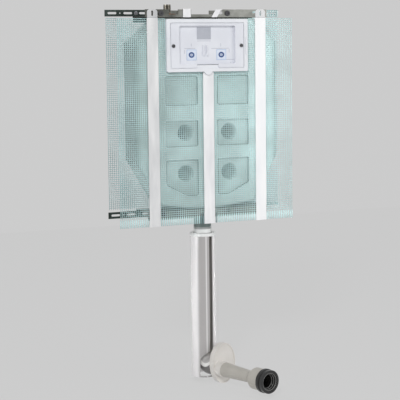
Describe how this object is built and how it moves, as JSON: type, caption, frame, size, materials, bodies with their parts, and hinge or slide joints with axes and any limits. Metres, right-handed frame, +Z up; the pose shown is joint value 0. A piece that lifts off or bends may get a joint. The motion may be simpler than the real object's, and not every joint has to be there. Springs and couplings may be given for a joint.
{
  "type": "concealed toilet cistern",
  "caption": "In-wall dual flush cistern on a strapped wall frame with plaster nets, access window, inner valves, swivelling flush pipe in a split sleeve and a pan connector.",
  "frame": {"origin": "on the wall plane, on the tank centre line, level with the tank top", "axes": "+X right seen from the front, +Y into the wall, +Z up"},
  "size_m": [0.494, 0.3032, 0.992],
  "materials": {
    "galvanised": "satin",
    "strap_paint": "satin",
    "screw_steel": "satin",
    "net_plastic": "matte",
    "tank_plastic": "satin",
    "frame_white": "satin",
    "screw_dark": "satin",
    "label_grey": "matte",
    "field_pale": "matte",
    "clip_white": "satin",
    "chromed": "polished",
    "copper_tone": "satin",
    "valve_brass": "satin",
    "handle_blue": "satin",
    "valve_white": "satin",
    "float_grey": "matte",
    "lever_blue": "satin",
    "seal_rubber": "matte",
    "outlet_light": "satin",
    "pipe_grey": "satin",
    "sleeve_grey": "gloss"
  },
  "bodies": {
    "frame": {"top_rail": "galvanised", "bottom_rail": "galvanised", "top_left_arm": "galvanised", "top_right_arm": "galvanised", "bottom_left_arm": "galvanised", "bottom_right_arm": "galvanised", "rail_screws": "screw_steel", "left_strap": "strap_paint", "right_strap": "strap_paint", "centre_strap": "strap_paint", "lip_screws": "screw_dark", "rear_net": "net_plastic", "front_net": "net_plastic", "tank_shell": "tank_plastic", "window_frame": "frame_white", "left_clip": "clip_white", "slanted_clip": "clip_white", "plug_screw": "clip_white", "stop_valve_body": "valve_brass", "inlet_nipple": "chromed", "fill_valve_body": "valve_white", "lever_bracket": "valve_white", "outlet_gasket": "seal_rubber", "valve_seat": "valve_white", "valve_cage": "valve_white", "outlet_collar": "outlet_light"},
    "cover": {"service_cover": "frame_white", "cover_label": "label_grey", "cover_fields": "field_pale", "cover_clips": "frame_white"},
    "left_screw": {"cover_screw_left": "screw_dark"},
    "right_screw": {"cover_screw_right": "screw_dark"},
    "handle": {"stop_handle": "handle_blue"},
    "collar": {"inlet_collar": "copper_tone"},
    "float": {"fill_float": "float_grey"},
    "float_arm": {"float_lever": "valve_white"},
    "full_lever": {"full_flush_lever": "lever_blue"},
    "half_lever": {"half_flush_lever": "lever_blue"},
    "stem": {"overflow_stem": "valve_white", "valve_seal": "seal_rubber"},
    "half_sleeve": {"half_flush_sleeve": "lever_blue"},
    "nut": {"outlet_nut": "outlet_light"},
    "flush_line": {"flush_pipe": "pipe_grey", "flush_bend": "pipe_grey", "pipe_sleeve": "sleeve_grey"},
    "connector": {"connecting_tube": "pipe_grey", "pan_seal": "seal_rubber"},
    "escutcheon": {"rosette": "pipe_grey"}
  },
  "joints": [
    {"name": "cover_pull", "type": "slide", "parent": "frame", "child": "cover", "axis": [0, -1, 0], "range_m": [0, 0.06]},
    {"name": "left_screw_turn", "type": "hinge", "parent": "cover", "child": "left_screw", "pos_m": [-0.0972, -0.097, -0.07], "axis": [0, -1, 0], "range_deg": [0, 90]},
    {"name": "right_screw_turn", "type": "hinge", "parent": "cover", "child": "right_screw", "pos_m": [0.0928, -0.097, -0.07], "axis": [0, -1, 0], "range_deg": [0, 90]},
    {"name": "stop_handle_turn", "type": "hinge", "parent": "frame", "child": "handle", "pos_m": [-0.092, -0.067, -0.022], "axis": [0, -1, 0], "range_deg": [0, 90]},
    {"name": "inlet_collar_turn", "type": "hinge", "parent": "frame", "child": "collar", "pos_m": [-0.092, -0.044, 0.008], "axis": [0, 0, 1], "continuous": true},
    {"name": "float_rise", "type": "slide", "parent": "frame", "child": "float", "axis": [0, 0, 1], "range_m": [0, 0.012]},
    {"name": "float_lever_turn", "type": "hinge", "parent": "frame", "child": "float_arm", "pos_m": [-0.084, -0.062, -0.05], "axis": [0, 1, 0], "range_deg": [0, 24.5]},
    {"name": "full_flush_push", "type": "hinge", "parent": "frame", "child": "full_lever", "pos_m": [-0.025, -0.068, -0.062], "axis": [1, 0, 0], "range_deg": [0, 21]},
    {"name": "half_flush_push", "type": "hinge", "parent": "frame", "child": "half_lever", "pos_m": [0.025, -0.068, -0.062], "axis": [1, 0, 0], "range_deg": [0, 12.6]},
    {"name": "stem_lift", "type": "slide", "parent": "frame", "child": "stem", "axis": [0, 0, 1], "range_m": [0, 0.00821]},
    {"name": "half_sleeve_lift", "type": "slide", "parent": "frame", "child": "half_sleeve", "axis": [0, 0, 1], "range_m": [0, 0.00499]},
    {"name": "outlet_nut_turn", "type": "hinge", "parent": "frame", "child": "nut", "pos_m": [0, -0.044, -0.5627], "axis": [0, 0, 1], "continuous": true},
    {"name": "flush_line_swivel", "type": "hinge", "parent": "frame", "child": "flush_line", "pos_m": [0, -0.044, -0.57], "axis": [0, 0, 1], "range_deg": [-60, 60]},
    {"name": "connector_slide", "type": "slide", "parent": "flush_line", "child": "connector", "axis": [0.2756, -0.9613, 0], "range_m": [0, 0.012]},
    {"name": "rosette_slide", "type": "slide", "parent": "connector", "child": "escutcheon", "axis": [0.2756, -0.9613, 0], "range_m": [0, 0.06]}
  ],
  "couplings": [
    {"joint": "full_flush_push", "follows": "stem_lift", "rad_per_m": 42.52},
    {"joint": "half_flush_push", "follows": "half_sleeve_lift", "rad_per_m": 41.97},
    {"joint": "float_lever_turn", "follows": "float_rise", "rad_per_m": 34.293}
  ]
}
